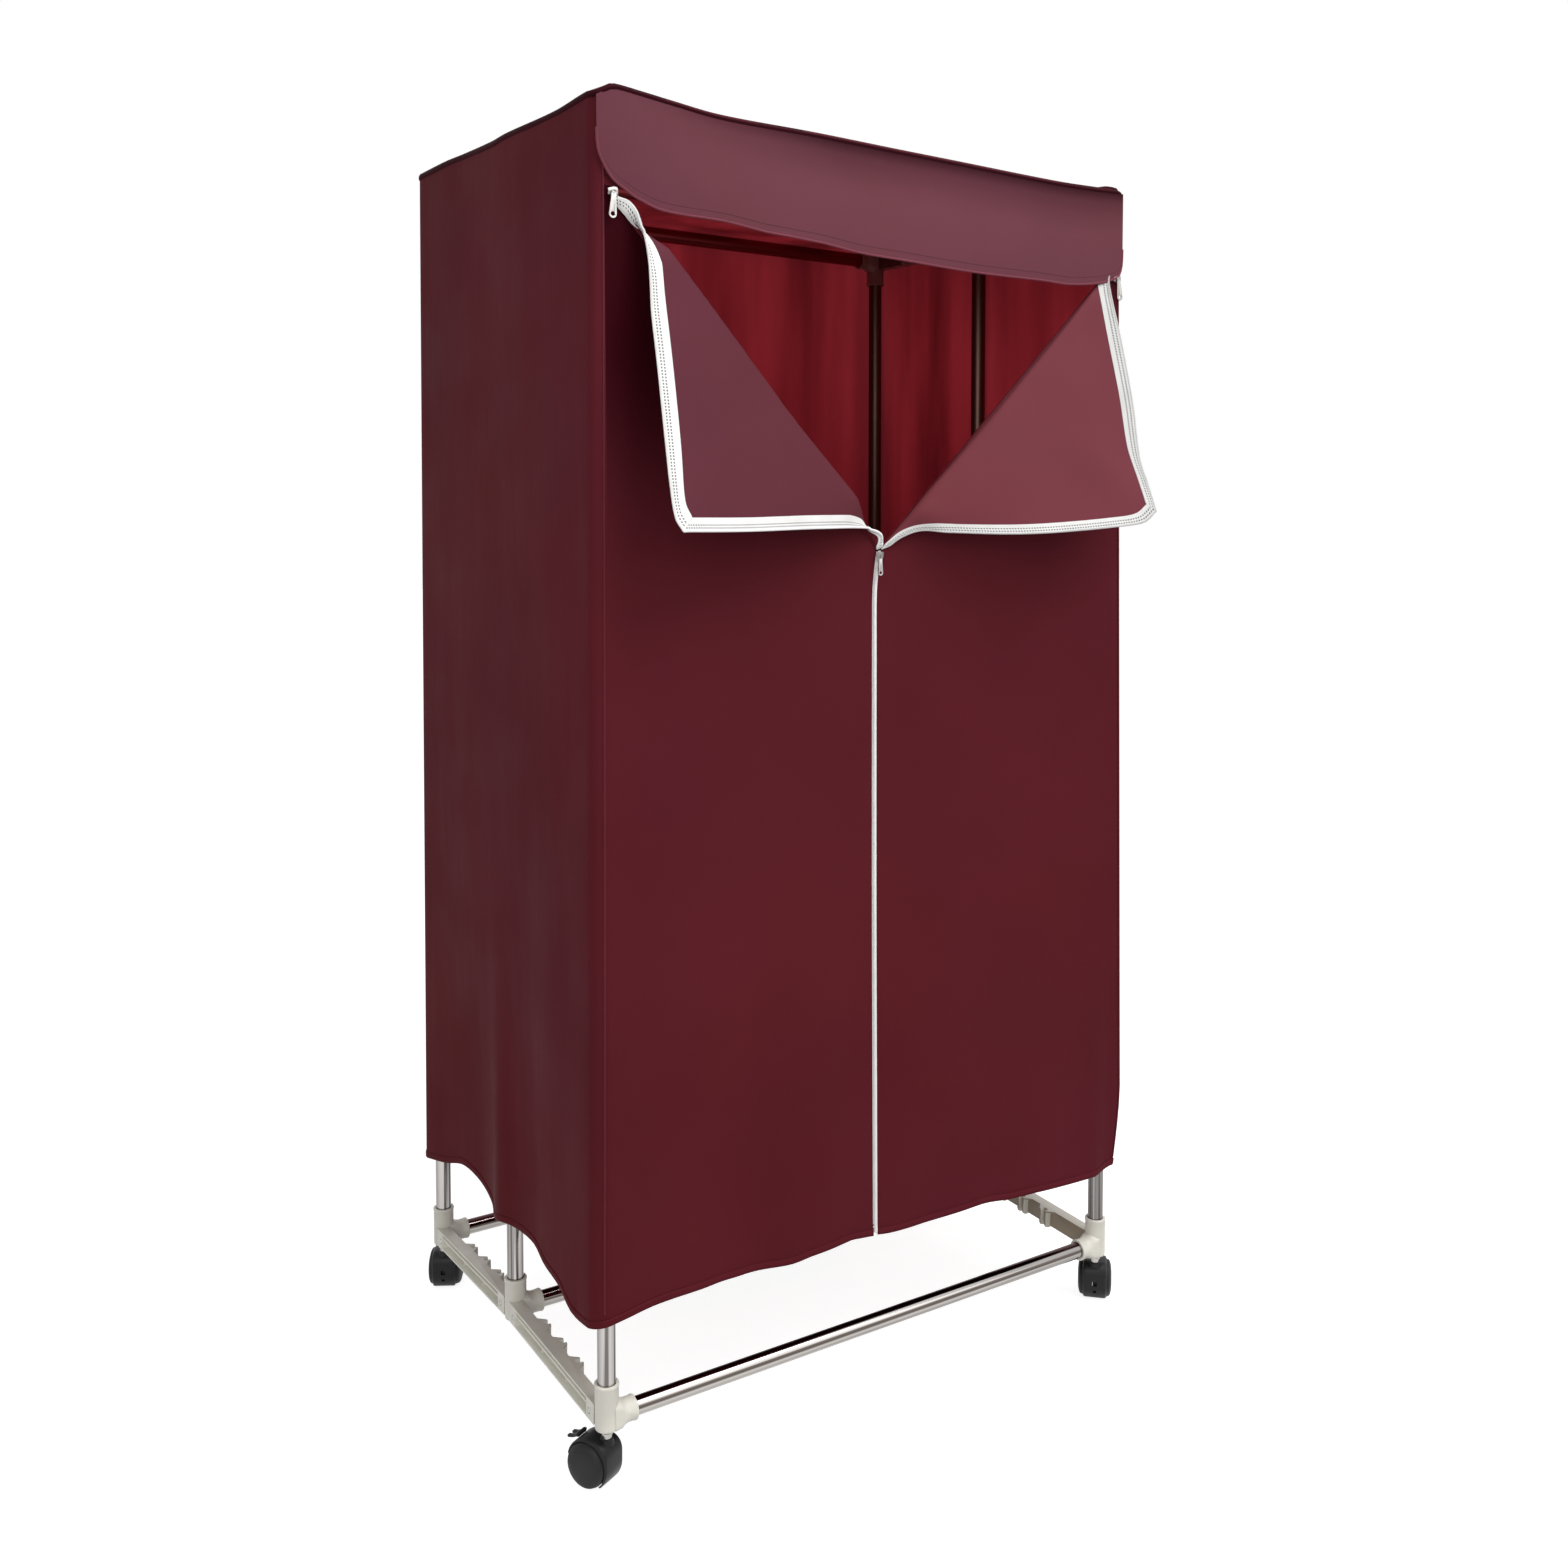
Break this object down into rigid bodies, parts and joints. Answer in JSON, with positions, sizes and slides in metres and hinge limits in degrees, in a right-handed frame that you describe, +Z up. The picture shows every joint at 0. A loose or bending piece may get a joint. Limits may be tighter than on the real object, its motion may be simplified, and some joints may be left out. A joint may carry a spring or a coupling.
{
  "type": "portable clothes dryer",
  "caption": "Free-standing clothes dryer: a tube frame on casters with a zipped cloth cover, folded open at the front, and a fan heater on its base tubes.",
  "frame": {"origin": "on the floor, under the middle of the whole object's box", "axes": "+Z up, the opened front faces -Y, +X to the right seen from the front"},
  "size_m": [0.7622, 0.6454, 1.406],
  "materials": {
    "black_plastic": "black moulded plastic, soft gloss",
    "bright_steel": "bright plated steel tube",
    "cover_cloth": "coated maroon nylon cloth",
    "element_metal": "aluminium heater fins",
    "heater_dark": "dark grey moulded plastic",
    "heater_shell": "light grey moulded plastic",
    "ivory_plastic": "moulded ivory plastic, satin to gloss",
    "motor_steel": "zinc plated steel",
    "white_zip": "white zip chain",
    "zinc": "bright zinc zip slider"
  },
  "bodies": {
    "frame": {"base_comb_front_left": "ivory_plastic", "base_comb_front_right": "ivory_plastic", "base_comb_rear_left": "ivory_plastic", "base_comb_rear_right": "ivory_plastic", "base_corner_front_left": "ivory_plastic", "base_corner_front_right": "ivory_plastic", "base_corner_rear_left": "ivory_plastic", "base_corner_rear_right": "ivory_plastic", "base_tee_left": "ivory_plastic", "base_tee_right": "ivory_plastic", "base_tube_front": "bright_steel", "base_tube_middle": "bright_steel", "base_tube_rear": "bright_steel", "cover_back": "cover_cloth", "cover_left_side": "cover_cloth", "cover_right_side": "cover_cloth", "cover_roof": "cover_cloth", "front_panel_left": "cover_cloth", "front_panel_right": "cover_cloth", "heater_element": "element_metal", "heater_lower_housing": "heater_shell", "heater_motor": "motor_steel", "heater_upper_housing": "heater_shell", "post_front_left": "bright_steel", "post_front_right": "bright_steel", "post_middle_left": "bright_steel", "post_middle_right": "bright_steel", "post_rear_left": "bright_steel", "post_rear_right": "bright_steel", "top_comb_front_left": "ivory_plastic", "top_comb_front_right": "ivory_plastic", "top_comb_rear_left": "ivory_plastic", "top_comb_rear_right": "ivory_plastic", "top_corner_front_left": "ivory_plastic", "top_corner_front_right": "ivory_plastic", "top_corner_rear_left": "ivory_plastic", "top_corner_rear_right": "ivory_plastic", "top_tee_left": "ivory_plastic", "top_tee_right": "ivory_plastic", "top_tube_front": "bright_steel", "top_tube_middle": "bright_steel", "top_tube_rear": "bright_steel", "zip_chain": "white_zip"},
    "caster_front_left": {"caster_front_left_hood": "black_plastic"},
    "wheels_front_left": {"caster_front_left_wheels": "black_plastic"},
    "brake_front_left": {"caster_front_left_brake": "black_plastic"},
    "caster_front_right": {"caster_front_right_hood": "black_plastic"},
    "wheels_front_right": {"caster_front_right_wheels": "black_plastic"},
    "caster_rear_left": {"caster_rear_left_hood": "black_plastic"},
    "wheels_rear_left": {"caster_rear_left_wheels": "black_plastic"},
    "caster_rear_right": {"caster_rear_right_hood": "black_plastic"},
    "wheels_rear_right": {"caster_rear_right_wheels": "black_plastic"},
    "brake_rear_right": {"caster_rear_right_brake": "black_plastic"},
    "lapel_left": {"front_lapel_left": "cover_cloth"},
    "lapel_right": {"front_lapel_right": "cover_cloth"},
    "valance": {"front_valance": "cover_cloth"},
    "zip_slider": {"zip_slider": "zinc"},
    "zip_pull": {"zip_pull": "zinc"},
    "impeller": {"heater_impeller": "heater_dark"},
    "timer_knob": {"heater_timer_knob": "heater_dark"}
  },
  "joints": [
    {"name": "caster_front_left_swivel", "type": "hinge", "parent": "frame", "child": "caster_front_left", "pos_m": [-0.345, -0.1985, 0], "axis": [0, 0, 1], "continuous": true},
    {"name": "caster_front_left_roll", "type": "hinge", "parent": "caster_front_left", "child": "wheels_front_left", "pos_m": [-0.35201, -0.18412, 0.02265], "axis": [-0.8988, -0.4384, 0], "continuous": true},
    {"name": "caster_front_left_brake_lift", "type": "hinge", "parent": "caster_front_left", "child": "brake_front_left", "pos_m": [-0.35971, -0.16835, 0.04511], "axis": [0.8988, 0.4384, 0], "range_deg": [0, 24]},
    {"name": "caster_front_right_swivel", "type": "hinge", "parent": "frame", "child": "caster_front_right", "pos_m": [0.345, -0.1985, 0], "axis": [0, 0, 1], "continuous": true},
    {"name": "caster_front_right_roll", "type": "hinge", "parent": "caster_front_right", "child": "wheels_front_right", "pos_m": [0.35631, -0.18719, 0.02265], "axis": [-0.7071, 0.7071, 0], "continuous": true},
    {"name": "caster_rear_left_swivel", "type": "hinge", "parent": "frame", "child": "caster_rear_left", "pos_m": [-0.345, 0.2815, 0], "axis": [0, 0, 1], "continuous": true},
    {"name": "caster_rear_left_roll", "type": "hinge", "parent": "caster_rear_left", "child": "wheels_rear_left", "pos_m": [-0.337, 0.29535, 0.02265], "axis": [-0.866, 0.5, 0], "continuous": true},
    {"name": "caster_rear_right_swivel", "type": "hinge", "parent": "frame", "child": "caster_rear_right", "pos_m": [0.345, 0.2815, 0], "axis": [0, 0, 1], "continuous": true},
    {"name": "caster_rear_right_roll", "type": "hinge", "parent": "caster_rear_right", "child": "wheels_rear_right", "pos_m": [0.34086, 0.29695, 0.02265], "axis": [-0.9659, -0.2588, 0], "continuous": true},
    {"name": "caster_rear_right_brake_lift", "type": "hinge", "parent": "caster_rear_right", "child": "brake_rear_right", "pos_m": [0.33632, 0.3139, 0.04511], "axis": [0.9659, 0.2588, 0], "range_deg": [0, 24]},
    {"name": "lapel_left_fold", "type": "hinge", "parent": "frame", "child": "lapel_left", "pos_m": [-0.339, -0.2134, 1.306], "axis": [-0.701, -0.0381, 0.7122], "range_deg": [0, 120]},
    {"name": "lapel_right_fold", "type": "hinge", "parent": "frame", "child": "lapel_right", "pos_m": [0.339, -0.2134, 1.306], "axis": [-0.701, 0.0381, -0.7122], "range_deg": [0, 120]},
    {"name": "valance_lift", "type": "hinge", "parent": "frame", "child": "valance", "pos_m": [0, -0.2154, 1.406], "axis": [-1, 0, 0], "range_deg": [0, 170]},
    {"name": "zip_slide", "type": "slide", "parent": "frame", "child": "zip_slider", "axis": [0, 0, -1], "range_m": [0, 0.75]},
    {"name": "zip_pull_swing", "type": "hinge", "parent": "zip_slider", "child": "zip_pull", "pos_m": [0, -0.1997, 0.9531], "axis": [-1, 0, 0], "range_deg": [0, 120]},
    {"name": "impeller_spin", "type": "hinge", "parent": "frame", "child": "impeller", "pos_m": [0, 0.1595, 0.1562], "axis": [0, 0, 1], "continuous": true},
    {"name": "timer_knob_turn", "type": "hinge", "parent": "frame", "child": "timer_knob", "pos_m": [0.085, 0.0455, 0.131], "axis": [0, -1, 0], "range_deg": [0, 300]}
  ]
}
